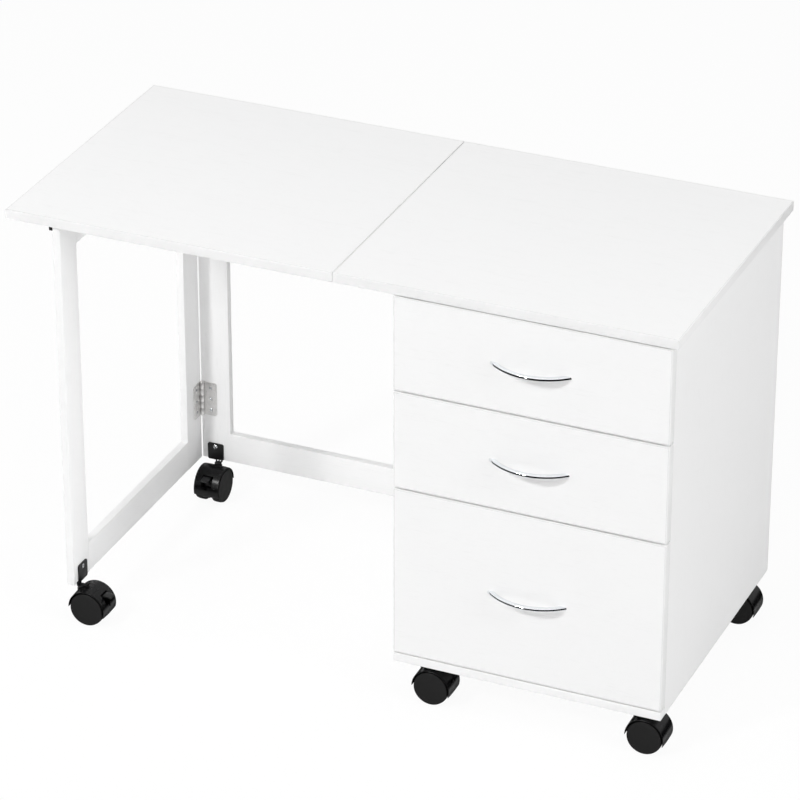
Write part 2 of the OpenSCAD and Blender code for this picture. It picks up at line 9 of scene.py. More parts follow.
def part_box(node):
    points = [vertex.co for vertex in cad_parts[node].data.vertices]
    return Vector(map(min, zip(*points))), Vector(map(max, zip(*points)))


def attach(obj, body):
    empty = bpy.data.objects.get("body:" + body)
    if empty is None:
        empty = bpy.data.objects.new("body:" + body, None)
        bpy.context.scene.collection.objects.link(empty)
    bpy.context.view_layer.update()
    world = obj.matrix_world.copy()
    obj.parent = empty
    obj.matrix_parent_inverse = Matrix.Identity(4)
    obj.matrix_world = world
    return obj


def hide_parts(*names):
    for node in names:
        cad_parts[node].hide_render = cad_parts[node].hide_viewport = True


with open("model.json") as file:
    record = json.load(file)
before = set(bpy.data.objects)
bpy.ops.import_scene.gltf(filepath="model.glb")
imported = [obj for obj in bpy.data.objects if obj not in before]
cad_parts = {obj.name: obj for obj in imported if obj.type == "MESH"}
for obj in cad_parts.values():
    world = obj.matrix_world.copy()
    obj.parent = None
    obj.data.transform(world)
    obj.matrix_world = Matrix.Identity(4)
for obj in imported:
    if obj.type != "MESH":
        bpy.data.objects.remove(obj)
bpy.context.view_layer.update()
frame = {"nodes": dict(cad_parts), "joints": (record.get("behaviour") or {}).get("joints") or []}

# Studio
# A white sweep under a dim even sky, a key light from the front left and soft lights round it. Gloss sees a
# white room. A dark band at the desk's height gives the chrome its black line. A grey card low behind keeps
# the casters' black barrels from flaring.


def linear(hex_colour):
    """Linear RGBA from an sRGB colour such as #f4f4f2."""
    channels = [int(hex_colour[i:i + 2], 16) / 255 for i in (1, 3, 5)]
    return tuple(c / 12.92 if c <= 0.04045 else ((c + 0.055) / 1.055) ** 2.4 for c in channels) + (1,)


def add_node(tree, kind, settings=(), inputs=()):
    """Adds a node, sets its properties, and gives each input a node or socket to read, or a plain value."""
    node = tree.nodes.new("ShaderNode" + kind)
    for name, value in dict(settings).items():
        setattr(node, name, value)
    for name, value in dict(inputs).items():
        if isinstance(value, bpy.types.Node):
            value = value.outputs[0]
        if isinstance(value, bpy.types.NodeSocket):
            tree.links.new(value, node.inputs[name])
        else:
            node.inputs[name].default_value = value
    return node


def new_material(name):
    """A material with an empty node tree, that tree, and a socket that gives the place on the piece."""
    material = bpy.data.materials.new(name)
    material.use_nodes = True
    tree = material.node_tree
    tree.nodes.clear()
    return material, tree, add_node(tree, "TexCoord").outputs["Object"]


def surface(material, tone, gloss, height, strength, depth, more):
    """Ends a material: a principled surface with its tone, its gloss and a relief of the given depth."""
    tree = material.node_tree
    relief = add_node(tree, "Bump", inputs={"Height": height, "Strength": strength, "Distance": depth})
    skin = add_node(tree, "BsdfPrincipled", inputs={
        "Base Color": tone.outputs[2], "Roughness": gloss, "Normal": relief, **more})
    add_node(tree, "OutputMaterial", inputs={"Surface": skin})
    return material


camera_data = bpy.data.cameras.new("camera")
camera_data.lens = 192.36
camera_data.sensor_width = 36
camera_data.clip_end = 60
camera = bpy.data.objects.new("camera", camera_data)
camera.location = (2.4082, -5.5276, 3.6220)
camera.rotation_euler = (math.radians(61.822), 0, math.radians(23.5))
bpy.context.scene.collection.objects.link(camera)
bpy.context.scene.camera = camera
bpy.context.scene.view_settings.view_transform = "Standard"

world = bpy.data.worlds.new("studio")
world.use_nodes = True
bpy.context.scene.world = world
sky = world.node_tree
sky.nodes.clear()
white = linear("#ffffff")
sky_level = 0.28
band_middle = -0.14
band_half = 0.20
card_way = (0.0, 0.848, -0.530)
card_edge = 0.92
paths = add_node(sky, "LightPath")
soft_sky = add_node(sky, "Background", inputs={"Color": white, "Strength": sky_level})
white_sky = add_node(sky, "Background", inputs={"Color": white, "Strength": 1})
sees_white = add_node(sky, "Math", {"operation": "MAXIMUM"}, {
    0: paths.outputs["Is Camera Ray"], 1: paths.outputs["Is Transmission Ray"]})
plain_sky = add_node(sky, "MixShader", inputs={0: sees_white, 1: soft_sky, 2: white_sky})
direction = add_node(sky, "TexCoord").outputs["Generated"]
rise = add_node(sky, "SeparateXYZ", inputs={"Vector": direction})
in_band = add_node(sky, "Math", {"operation": "COMPARE"}, {
    0: rise.outputs["Z"], 1: band_middle, 2: band_half})
towards_card = add_node(sky, "VectorMath", {"operation": "DOT_PRODUCT"}, {0: direction, 1: card_way})
on_card = add_node(sky, "Math", {"operation": "GREATER_THAN"}, {
    0: towards_card.outputs["Value"], 1: card_edge})
room_tone = add_node(sky, "Mix", {"data_type": "RGBA"}, {0: on_card, 6: white, 7: linear("#7c7c7c")})
band_tone = add_node(sky, "Mix", {"data_type": "RGBA"}, {
    0: in_band, 6: room_tone.outputs[2], 7: linear("#0a0a0a")})
gloss_sky = add_node(sky, "Background", inputs={"Color": band_tone.outputs[2], "Strength": 1})
whole_sky = add_node(sky, "MixShader", inputs={0: paths.outputs["Is Glossy Ray"], 1: plain_sky, 2: gloss_sky})
add_node(sky, "OutputWorld", inputs={"Surface": whole_sky})

white_share = 0.94
sweep_radius = 14
floor_material, tree = new_material("white_sweep")[:2]
paths = add_node(tree, "LightPath")
matte = add_node(tree, "BsdfDiffuse", inputs={"Color": linear("#fbfbfb")})
lit = add_node(tree, "Emission", inputs={"Color": white, "Strength": 1})
seen = add_node(tree, "Math", {"operation": "MAXIMUM"},
                {0: paths.outputs["Is Camera Ray"], 1: paths.outputs["Is Transmission Ray"]})
share = add_node(tree, "Math", {"operation": "MULTIPLY"}, {0: seen, 1: white_share})
floor_mix = add_node(tree, "MixShader", inputs={0: share, 1: matte, 2: lit})
add_node(tree, "OutputMaterial", inputs={"Surface": floor_mix})


def select_nothing():
    """Clears the selection, so that an operator acts on the new primitive alone."""
    bpy.ops.object.select_all(action="DESELECT")


select_nothing()
bpy.ops.mesh.primitive_circle_add(vertices=96, radius=sweep_radius, fill_type="NGON")
floor = bpy.context.object
floor.name = "floor"
floor.data.materials.append(floor_material)
floor.visible_glossy = False


desk_middle = (0, 0, 0.4)


def soft_box(name, place, width, height, power, target=desk_middle):
    """A rectangular soft light that faces its target."""
    data = bpy.data.lights.new(name, "AREA")
    data.shape = "RECTANGLE"
    data.size = width
    data.size_y = height
    data.energy = power
    lamp = bpy.data.objects.new(name, data)
    lamp.location = place
    lamp.rotation_euler = (Vector(target) - Vector(place)).to_track_quat("-Z", "Y").to_euler()
    bpy.context.scene.collection.objects.link(lamp)
    return lamp


soft_box("key", place=(-2.15, -4.21, 4.1), width=0.7, height=0.7, power=151)
soft_box("overhead", place=(0, 0, 3.6), width=3.0, height=3.0, power=25)
for side_name, side_place, side_power in (
        ("left_side", (-3.57, -0.63, 2.1), 30), ("right_side", (3.5, -0.94, 2.1), 56)):
    side_light = soft_box(side_name, side_place, width=1.6, height=1.6, power=side_power)
    side_light.visible_glossy = False
gloss_strip = soft_box("gloss_strip", place=(-0.9, -4.2, 1.9), width=0.35, height=3.4, power=100,
                       target=(-0.45, 0.2, 0.1))
gloss_strip.visible_diffuse = False
knee_card = soft_box("knee_card", place=(0.06, -0.15, 0.33), width=0.5, height=0.4, power=0.45,
                     target=(-0.5, 0.05, 0.3))
knee_card.visible_glossy = False

# Desktop
# Two halves of 16 mm chipboard with white melamine pressed on both faces and a thin white edging glued round
# them. The film is embossed with a fine wood pore that runs along the desk, and is satin to the eye.


def melamine(name, grain, colour="#f7f7f7", pore="#e4e4e4", film_roughness=0.42):
    """White melamine film on chipboard, embossed with wood pores along the given axis (0, 1 or 2)."""
    pore_length = 0.030
    pore_width = 0.0011
    figure_length = 0.35
    figure_width = 0.012
    pore_sharpness = 14
    pore_tint = 0.20
    pore_dullness = 0.14
    material, tree, place = new_material(name)
    pore_scale = [1 / pore_width] * 3
    pore_scale[grain] = 1 / pore_length
    figure_scale = [1 / figure_width] * 3
    figure_scale[grain] = 1 / figure_length
    figure_place = add_node(tree, "Mapping", inputs={"Vector": place, "Scale": figure_scale})
    figure = add_node(tree, "TexNoise", inputs={
        "Vector": figure_place, "Scale": 1, "Detail": 3, "Roughness": 0.6, "Distortion": 0.3})
    pore_place = add_node(tree, "Mapping", inputs={"Vector": place, "Scale": pore_scale})
    pores = add_node(tree, "TexNoise", inputs={
        "Vector": pore_place, "Scale": 1, "Detail": 2, "Roughness": 0.55})
    pore_limit = add_node(tree, "MapRange", inputs={
        "Value": figure, "From Min": 0.35, "From Max": 0.65, "To Min": 0.66, "To Max": 0.56})
    pore_excess = add_node(tree, "Math", {"operation": "SUBTRACT"}, {0: pores, 1: pore_limit})
    in_pore = add_node(tree, "Math", {"operation": "MULTIPLY", "use_clamp": True},
                       {0: pore_excess, 1: pore_sharpness})
    tint = add_node(tree, "Math", {"operation": "MULTIPLY"}, {0: in_pore, 1: pore_tint})
    tone = add_node(tree, "Mix", {"data_type": "RGBA"}, {0: tint, 6: linear(colour), 7: linear(pore)})
    gloss = add_node(tree, "MapRange", inputs={
        "Value": in_pore, "To Min": film_roughness, "To Max": film_roughness + pore_dullness})
    height = add_node(tree, "Math", {"operation": "MULTIPLY_ADD"}, {0: in_pore, 1: -1, 2: figure})
    return surface(material, tone, gloss, height, strength=0.35, depth=0.00012,
                   more={"IOR": 1.5, "Specular IOR Level": 0.35})


def plain_plastic(name, colour, roughness, ripple, ripple_depth, specular=0.4):
    """Smooth thermoplastic with a faint ripple of the given size: edging strip, nylon or a painted coat."""
    cloud_size = 18 * ripple
    cloud_shade = 0.90
    polished_by = 0.04
    dulled_by = 0.05
    material, tree, place = new_material(name)
    wave = add_node(tree, "TexNoise", inputs={
        "Vector": place, "Scale": 1 / ripple, "Detail": 2, "Roughness": 0.5})
    cloud = add_node(tree, "TexNoise", inputs={"Vector": place, "Scale": 1 / cloud_size, "Detail": 2})
    shade = [c * cloud_shade for c in linear(colour)[:3]] + [1]
    tone = add_node(tree, "Mix", {"data_type": "RGBA"}, {0: cloud, 6: linear(colour), 7: shade})
    gloss = add_node(tree, "MapRange", inputs={
        "Value": cloud, "From Min": 0.3, "From Max": 0.7,
        "To Min": roughness - polished_by, "To Max": roughness + dulled_by})
    return surface(material, tone, gloss, wave, strength=0.4, depth=ripple_depth,
                   more={"IOR": 1.5, "Specular IOR Level": specular})


along_x, along_y, along_z = 0, 1, 2
film_x = melamine("melamine_grain_along", along_x)
film_z = melamine("melamine_grain_upright", along_z)
film_y = melamine("melamine_grain_across", along_y)
edging_white = plain_plastic("abs_edging_white", "#f6f6f6", roughness=0.38, ripple=0.004,
                             ripple_depth=0.00004)
glue_line = plain_plastic("edging_glue_line", "#c9c8c5", roughness=0.6, ripple=0.001, ripple_depth=0.00002)


def select_only(piece):
    """Makes one object the selected and active one."""
    select_nothing()
    piece.select_set(True)
    bpy.context.view_layer.objects.active = piece


def settle(piece):
    """Moves the object's place into its mesh and gives it clean normals and crisp shading."""
    select_only(piece)
    bpy.ops.object.transform_apply(location=True, rotation=True, scale=True)
    bpy.ops.object.shade_smooth_by_angle(angle=math.radians(32))
    return piece


def open_mesh():
    """Opens the active object for editing, with all of its mesh selected."""
    bpy.ops.object.mode_set(mode="EDIT")
    bpy.ops.mesh.select_all(action="SELECT")


def close_mesh():
    """Goes back from editing to the object."""
    bpy.ops.object.mode_set(mode="OBJECT")


def pick(piece, kind, wanted):
    """Selects, in edit mode, only the faces or edges for which wanted(part) is true."""
    mesh = bmesh.from_edit_mesh(piece.data)
    for part in (*mesh.verts, *mesh.edges, *mesh.faces):
        part.select = False
    for part in getattr(mesh, kind):
        if wanted(part):
            part.select_set(True)
    bmesh.update_edit_mesh(piece.data)


def paint_faces(piece, slot_index):
    """Gives the selected faces the material in that slot."""
    piece.active_material_index = slot_index
    bpy.ops.object.material_slot_assign()


def laminated_board(name, low, high, film, edging=edging_white, ease=0.0008, band=0.0016):
    """A sawn board: film on its two wide faces, edging round its four edges, all arrises eased."""
    line_width = 0.00025
    size = Vector(high) - Vector(low)
    thin = min(range(3), key=lambda k: size[k])
    select_nothing()
    bpy.ops.mesh.primitive_cube_add(size=1, location=(Vector(low) + Vector(high)) / 2)
    board = bpy.context.object
    board.name = name
    board.scale = size
    bpy.ops.object.transform_apply(location=True, rotation=True, scale=True)
    for material in (edging, film, glue_line):
        board.data.materials.append(material)
    open_mesh()
    bpy.ops.mesh.bevel(offset=ease, segments=3, affect="EDGES")
    pick(board, "faces", lambda face: abs(face.normal[thin]) > 0.999)
    bpy.ops.mesh.inset(thickness=band - ease)
    paint_faces(board, 2)
    bpy.ops.mesh.inset(thickness=line_width)
    paint_faces(board, 1)
    close_mesh()
    return settle(board)


overcut = 0.001


def carve(piece, cutter, operation="DIFFERENCE"):
    """Cuts one object with another, or joins them, by an applied Boolean, and drops the second."""
    select_only(piece)
    cut = piece.modifiers.new("cut", "BOOLEAN")
    cut.operation = operation
    cut.solver = "EXACT"
    cut.object = cutter
    bpy.ops.object.modifier_apply(modifier="cut")
    bpy.data.objects.remove(cutter)
    return piece


def round_bar(radius, low_end, high_end, sides=32, ease=0.0):
    """A plain round bar between two points, with its rims eased where asked."""
    start = Vector(low_end)
    run = Vector(high_end) - start
    select_nothing()
    bpy.ops.mesh.primitive_cylinder_add(vertices=sides, radius=radius, depth=run.length)
    bar = bpy.context.object
    if ease:
        open_mesh()
        pick(bar, "edges", lambda edge: abs(edge.verts[0].co.z - edge.verts[1].co.z) < 1e-6)
        bpy.ops.mesh.bevel(offset=ease, segments=2, affect="EDGES")
        close_mesh()
    turn = Vector((0, 0, 1)).rotation_difference(run.normalized()).to_matrix().to_4x4()
    bar.data.transform(Matrix.Translation(start + run / 2) @ turn)
    return bar


def fit(piece, body, material_slot, *nodes):
    """The piece rides on its body and stands for the CAD nodes, which it hides. The material_slot argument is
    not used.
    """
    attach(piece, body)
    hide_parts(*nodes)


def solid_boxes(node):
    """The low and high corner of each separate solid in a CAD node, from front to back and low to high."""
    mesh = bmesh.new()
    mesh.from_mesh(frame["nodes"][node].data)
    bmesh.ops.remove_doubles(mesh, verts=mesh.verts, dist=1e-6)
    left = set(mesh.verts)
    boxes = []
    while left:
        queue = [left.pop()]
        found = []
        while queue:
            vertex = queue.pop()
            found.append(vertex.co.copy())
            near = {edge.other_vert(vertex) for edge in vertex.link_edges} & left
            left -= near
            queue.extend(near)
        low = Vector([min(point[k] for point in found) for k in range(3)])
        high = Vector([max(point[k] for point in found) for k in range(3)])
        boxes.append((low, high))
    mesh.free()
    return sorted(boxes, key=lambda box: tuple(round(value, 4) for value in (*box[0], *box[1])))


barrel_clearance = 0.0001
for name, body in (("fixed_top", "cabinet"), ("leaf_top", "leaf")):
    top_half = laminated_board(name + "_board", *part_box(name), film_x, ease=0.0004)
    hinge_node = "leaf_hinges_fixed" if body == "cabinet" else "leaf_hinges_moving"
    for low, high in solid_boxes(hinge_node):
        middle = (low + high) / 2
        bore = round_bar((high.y - low.y) / 2 + barrel_clearance, (low.x - overcut, middle.y, middle.z),
                         (high.x + overcut, middle.y, middle.z))
        carve(top_half, bore)
    fit(settle(top_half), body, "white_laminate", name)

# Cabinet
# Side panels, a bottom and a strip below the lowest drawer, sawn from 15 mm laminated chipboard and dowelled
# together. Two rails under the top tie the sides. A 3 mm hardboard back is pinned to their rear edges.


def merged(name, *parts):
    """Joins objects into one, with the given name."""
    select_nothing()
    for part in parts:
        part.select_set(True)
    bpy.context.view_layer.objects.active = parts[0]
    if len(parts) > 1:
        bpy.ops.object.join()
    whole = bpy.context.object
    whole.name = name
    return whole


def twin(piece, move):
    """A copy with its own mesh, moved by a matrix. A mirrored copy has its faces turned outwards again."""
    other = piece.copy()
    other.data = piece.data.copy()
    bpy.context.scene.collection.objects.link(other)
    other.data.transform(move)
    if move.determinant() < 0:
        other.data.flip_normals()
    return other


def hardboard(name, colour, fibre, fibre_length=0.004):
    """Pressed wood fibre under a thin coat of white paint: flat, dull and slightly flecked."""
    material, tree, place = new_material(name)
    fleck = add_node(tree, "TexNoise", inputs={
        "Vector": place, "Scale": 1 / fibre_length, "Detail": 4, "Roughness": 0.7, "Distortion": 1.2})
    amount = add_node(tree, "MapRange", inputs={
        "Value": fleck, "From Min": 0.52, "From Max": 0.72, "To Max": 0.7})
    tone = add_node(tree, "Mix", {"data_type": "RGBA"}, {0: amount, 6: linear(colour), 7: linear(fibre)})
    gloss = add_node(tree, "MapRange", inputs={"Value": fleck, "To Min": 0.5, "To Max": 0.72})
    return surface(material, tone, gloss, fleck, strength=0.4, depth=0.00015,
                   more={"IOR": 1.5, "Specular IOR Level": 0.3})


def plated_metal(name, colour, roughness, scratch_axis, scratch_width=0.0004, shade="#8d9095"):
    """Plated metal: fine scratches along one axis, and a slow change of tone from the plating bath."""
    scratch_length = 0.012
    bath_cloud = 1 / 90
    least_scratched = 0.8
    most_scratched = 1.25
    material, tree, place = new_material(name)
    scratch_scale = [1 / scratch_width] * 3
    scratch_scale[scratch_axis] = 1 / scratch_length
    scratch_place = add_node(tree, "Mapping", inputs={"Vector": place, "Scale": scratch_scale})
    scratch = add_node(tree, "TexNoise", inputs={
        "Vector": scratch_place, "Scale": 1, "Detail": 2, "Roughness": 0.5})
    bath = add_node(tree, "TexNoise", inputs={"Vector": place, "Scale": 1 / bath_cloud, "Detail": 2})
    tint = add_node(tree, "MapRange", inputs={
        "Value": bath, "From Min": 0.35, "From Max": 0.75, "To Max": 0.35})
    tone = add_node(tree, "Mix", {"data_type": "RGBA"}, {0: tint, 6: linear(colour), 7: linear(shade)})
    gloss = add_node(tree, "MapRange", inputs={
        "Value": scratch, "From Min": 0.3, "From Max": 0.7,
        "To Min": roughness * least_scratched, "To Max": roughness * most_scratched})
    return surface(material, tone, gloss, scratch, strength=0.25, depth=0.00002, more={"Metallic": 1})


painted_fibre = hardboard("painted_hardboard", "#ecebe8", "#cfc8ba")
bright_zinc = plated_metal("bright_zinc_plate", "#c9ccd0", roughness=0.28, scratch_axis=along_y)

for name, film in (("side_panel_left", film_z), ("side_panel_right", film_z), ("bottom_board", film_x)):
    fit(laminated_board(name + "_piece", *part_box(name), film), "cabinet", "white_laminate", name)

base_strip = laminated_board("base_strip", *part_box("base_front_board"), film_x, edging=film_x)
fit(base_strip, "cabinet", "white_laminate", "base_front_board")

rail_boards = [laminated_board("rail", low, high, film_x) for low, high in solid_boxes("top_rails")]
fit(merged("tie_rails", *rail_boards), "cabinet", "carcass_board", "top_rails")

panel_low, panel_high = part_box("back_panel")


def fibre_sheet(name, low, high):
    """A thin sheet of painted hardboard with bare, barely eased edges."""
    return laminated_board(name, low, high, painted_fibre, edging=painted_fibre, ease=0.0003, band=0.0006)


fit(fibre_sheet("back_sheet", panel_low, panel_high), "cabinet", "carcass_board", "back_panel")

pin_head_radius = 0.0023
pin_head_height = 0.0008
pin_inset = 0.0065
pins_across = 5
pins_up = 7
select_nothing()
bpy.ops.mesh.primitive_uv_sphere_add(segments=12, ring_count=6, radius=pin_head_radius)
pin_head = bpy.context.object
for vertex in pin_head.data.vertices:
    vertex.co.y = max(vertex.co.y, 0) * pin_head_height / pin_head_radius
pin_head.data.materials.append(bright_zinc)
pin_xs = [panel_low.x + pin_inset + (panel_high.x - panel_low.x - 2 * pin_inset) * k / (pins_across - 1)
          for k in range(pins_across)]
pin_zs = [panel_low.z + pin_inset + (panel_high.z - panel_low.z - 2 * pin_inset) * k / (pins_up - 1)
          for k in range(pins_up)]
pin_places = [(x, z) for x in pin_xs for z in pin_zs
              if x in (pin_xs[0], pin_xs[-1]) or z in (pin_zs[0], pin_zs[-1])]
pin_heads = [twin(pin_head, Matrix.Translation((x, panel_high.y, z))) for x, z in pin_places]
bpy.data.objects.remove(pin_head)
pins = settle(merged("back_sheet_pins", *pin_heads))
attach(pins, "cabinet")

# Drawers
# Each has a 15 mm laminated front with edging all round, screwed to a box of 12 mm boards. A thin hardboard
# bottom lies in a groove.
drawer_film = melamine("drawer_side_film", along_y, "#f0f0ee", "#dddcd9", film_roughness=0.5)


def block(low, high):
    """A plain block between two corners, to cut with."""
    select_nothing()
    bpy.ops.mesh.primitive_cube_add(size=1, location=(Vector(low) + Vector(high)) / 2)
    solid = bpy.context.object
    solid.scale = Vector(high) - Vector(low)
    bpy.ops.object.transform_apply(location=True, rotation=True, scale=True)
    return solid


groove_slack = Vector((0.0003, 0.0003, 0.0001))
for number in "123":
    drawer = "drawer_" + number
    sheet_low, sheet_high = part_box("drawer_bottom_" + number)
    front = laminated_board(drawer + "_front_board", *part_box("drawer_front_" + number), film_x)
    carve(front, block(sheet_low - groove_slack, sheet_high + groove_slack))
    fit(settle(front), drawer, "white_laminate", "drawer_front_" + number)
    walls = merged(drawer + "_walls", *[
        laminated_board("wall", low, high, drawer_film, ease=0.0006, band=0.0012)
        for low, high in solid_boxes("drawer_box_" + number)])
    carve(walls, block(sheet_low - groove_slack, sheet_high + groove_slack))
    fit(settle(walls), drawer, "carcass_board", "drawer_box_" + number)
    fit(fibre_sheet(drawer + "_bottom_sheet", sheet_low, sheet_high), drawer, "carcass_board",
        "drawer_bottom_" + number)

# Drawer runners
# Bent steel channels with a white epoxy coat: one screwed to each side panel with a nylon roller at its front
# end, one under each drawer side with a roller at its rear end.
runner_coat = plain_plastic("epoxy_coat_on_steel", "#eceae6", roughness=0.35, ripple=0.0015,
                            ripple_depth=0.00003)
roller_nylon = plain_plastic("natural_nylon", "#e6e3da", roughness=0.42, ripple=0.0008, ripple_depth=0.00002)


def bent_channel(low, high, open_to, metal_thickness=0.0012, bend=0.0016):
    """Sheet steel bent into a channel along Y, open to +X (1) or to -X (-1)."""
    channel = block(low, high)
    select_only(channel)
    open_mesh()
    pick(channel, "faces", lambda face: face.normal.x * open_to > 0.9 or abs(face.normal.y) > 0.9)
    bpy.ops.mesh.delete(type="FACE")
    pick(channel, "edges", lambda edge: len(edge.link_faces) == 2)
    bpy.ops.mesh.bevel(offset=bend, segments=3, affect="EDGES")
    close_mesh()
    wall = channel.modifiers.new("sheet", "SOLIDIFY")
    wall.thickness = metal_thickness
    wall.offset = -1
    bpy.ops.object.modifier_apply(modifier="sheet")
    channel.data.materials.append(runner_coat)
    return channel


def roller(place, outwards):
    """A nylon roller on a rivet, its axle along X."""
    roller_radius = 0.0138
    roller_width = 0.0055
    rivet_radius = 0.0035
    rivet_stands = 1.4
    reach = Vector((outwards * roller_width / 2, 0, 0))
    wheel = round_bar(roller_radius, place - reach, place + reach, ease=0.0008)
    wheel.data.materials.append(roller_nylon)
    rivet = round_bar(rivet_radius, place - reach, place + rivet_stands * reach, sides=20, ease=0.0005)
    rivet.data.materials.append(bright_zinc)
    return merged("roller", wheel, rivet)


roller_inset = 0.016
roller_off_web = 0.0042
cabinet_middle = (panel_low.x + panel_high.x) / 2


def runner_set(node, on_drawer):
    """A channel and a roller for each runner in the node: a drawer's open outwards, the cabinet's inwards."""
    parts = []
    for low, high in solid_boxes(node):
        on_left = (low.x + high.x) / 2 < cabinet_middle
        open_to = 1 if on_left != on_drawer else -1
        web_x = low.x if open_to > 0 else high.x
        roller_y = high.y - roller_inset if on_drawer else low.y + roller_inset
        parts.append(bent_channel(low, high, open_to))
        roller_place = Vector((web_x + open_to * roller_off_web, roller_y, (low.z + high.z) / 2))
        parts.append(roller(roller_place, open_to))
    return parts


fit(settle(merged("cabinet_runner_set", *runner_set("runner_channels", False))), "cabinet", "runner_steel",
    "runner_channels")
for number in "123":
    node = "drawer_runners_" + number
    fit(settle(merged("drawer_" + number + "_runner_pair", *runner_set(node, True))), "drawer_" + number,
        "runner_steel", node)

# Handles
# Bow handles cast in zinc, polished and chromed: a flat bar, deeper than tall, bent to a shallow arc. Its
# ends are cut flat on the drawer front. Its roundings are wide on the top and front and tight between them.


def outline(points):
    """A flat face with the given corners, drawn over a circle with as many corners."""
    select_nothing()
    bpy.ops.mesh.primitive_circle_add(vertices=len(points), fill_type="NGON")
    face = bpy.context.object
    for vertex, point in zip(face.data.vertices, points):
        vertex.co = point
    return face


whole_turn = 2 * math.pi


def spun(points, centre, axis, angle, steps):
    """Turns a closed profile round an axis. Part of a turn keeps its two ends closed."""
    piece = outline(points)
    open_mesh()
    if angle >= whole_turn:
        bpy.ops.mesh.delete(type="ONLY_FACE")
        bpy.ops.mesh.select_all(action="SELECT")
    bpy.ops.mesh.spin(steps=steps, angle=angle, center=centre, axis=axis)
    bpy.ops.mesh.select_all(action="SELECT")
    bpy.ops.mesh.remove_doubles(threshold=0.000004)
    bpy.ops.mesh.delete_loose()
    bpy.ops.mesh.select_all(action="SELECT")
    bpy.ops.mesh.normals_make_consistent(inside=False)
    close_mesh()
    return piece


def cut_off(piece, place, normal):
    """Cuts the piece with a plane, drops what lies on the normal's side, and closes the cut."""
    select_only(piece)
    open_mesh()
    bpy.ops.mesh.bisect(plane_co=place, plane_no=normal, use_fill=True, clear_outer=True)
    close_mesh()
    return piece


chrome = plated_metal("polished_chrome", "#e8eaec", roughness=0.04, scratch_axis=along_x, shade="#d8dbde")
bow_half_depth = 0.0043
bow_chord = 0.120
bow_steps = 64
bow_roundings = ((3, 15, 0.0144), (15, 80, 0.0012), (80, 100, 0.0174), (100, 170, 0.0012), (170, 190, 0.0074),
                 (190, 265, 0.0009), (265, 275, 0.0391), (275, 363, 0.0008))


def bow_section(steps=6):
    """The bar's outline as (out, up), drawn from its roundings: from one facing to the next, at a radius."""
    out, up = 0, 0
    points = []
    for first, last, radius in bow_roundings:
        for k in range(steps):
            near = math.radians(first + (last - first) * k / steps)
            far = math.radians(first + (last - first) * (k + 1) / steps)
            points.append((out, up))
            out += radius * (math.cos(far) - math.cos(near))
            up += radius * (math.sin(far) - math.sin(near))
    middle_out = (max(p[0] for p in points) + min(p[0] for p in points)) / 2
    middle_up = (max(p[1] for p in points) + min(p[1] for p in points)) / 2
    return [(p[0] - middle_out, p[1] - middle_up) for p in points]


for number in "123":
    low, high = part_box("handle_" + number)
    front_plane = high.y
    rise = high.y - low.y - bow_half_depth
    radius = ((bow_chord / 2) ** 2 + rise ** 2) / (2 * rise)
    half_angle = math.asin((bow_chord / 2 + 2 * bow_half_depth) / radius)
    middle = (low + high) / 2
    centre = Vector((middle.x, front_plane + radius - rise, middle.z))
    start = Vector((math.sin(half_angle), math.cos(half_angle), 0))
    section = [centre - (radius + out) * start + Vector((0, 0, up)) for out, up in bow_section()]
    bow = spun(section, centre, (0, 0, -1), 2 * half_angle, bow_steps)
    cut_off(bow, (0, front_plane, 0), (0, 1, 0))
    bow.name = "bow_handle_" + number
    bow.data.materials.append(chrome)
    fit(settle(bow), "drawer_" + number, "chrome", "handle_" + number)

# Slat frames
# Eight slats of 13 mm board wrapped in white foil, dowelled into two flat frames, and the post on the cabinet
# that carries the inner frame's hinges. Their long edges are rounded.


def foiled_slat(name, low, high, film):
    """A slat whose long edges are rounded and whose two sawn ends are barely eased."""
    edge_radius = 0.0006
    slat = block(low, high)
    slat.name = name
    size = Vector(high) - Vector(low)
    long_way = max(range(3), key=lambda k: size[k])
    slat.data.materials.append(film)
    open_mesh()
    pick(slat, "edges", lambda edge: abs(edge.verts[1].co[long_way] - edge.verts[0].co[long_way])
         > size[long_way] / 2)
    bpy.ops.mesh.bevel(offset=edge_radius, segments=4, affect="EDGES")
    close_mesh()
    return settle(slat)


for name, body, film in (
        ("back_left_stile", "back_frame", film_z), ("back_right_stile", "back_frame", film_z),
        ("back_top_rail", "back_frame", film_x), ("back_bottom_rail", "back_frame", film_x),
        ("end_front_stile", "end_frame", film_z), ("end_rear_stile", "end_frame", film_z),
        ("end_top_rail", "end_frame", film_y), ("end_bottom_rail", "end_frame", film_y),
        ("hinge_post", "cabinet", film_z)):
    fit(foiled_slat(name + "_slat", *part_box(name), film), body, "white_frame", name)

# Leaf stop and leaf hinges
# A moulded black block under the leaf holds the end frame open. The leaf's concealed hinges are turned zinc
# barrels with a flat steel link between them, let into bores in the edges of the top.
black_nylon = plain_plastic("black_nylon", "#101011", roughness=0.4, ripple=0.0006, ripple_depth=0.00002,
                            specular=0.3)
die_cast_zinc = plated_metal("die_cast_zinc", "#a9acb0", roughness=0.42, scratch_axis=along_x,
                             scratch_width=0.0006)
stop_ease = 0.001
stop_rim = 0.0008
stop_hollow = 0.0006
stop = block(*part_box("leaf_stop"))
stop.name = "leaf_stop_block"
stop.data.materials.append(black_nylon)
open_mesh()
bpy.ops.mesh.bevel(offset=stop_ease, segments=3, affect="EDGES")
pick(stop, "faces", lambda face: face.normal.z < -0.99)
bpy.ops.mesh.inset(thickness=stop_rim, depth=-stop_hollow)
close_mesh()
fit(settle(stop), "leaf", "black_plastic", "leaf_stop")
for name in ("leaf_hinges_fixed", "leaf_hinges_moving"):
    barrel = frame["nodes"][name]
    barrel.data.materials.clear()
    barrel.data.materials.append(die_cast_zinc)

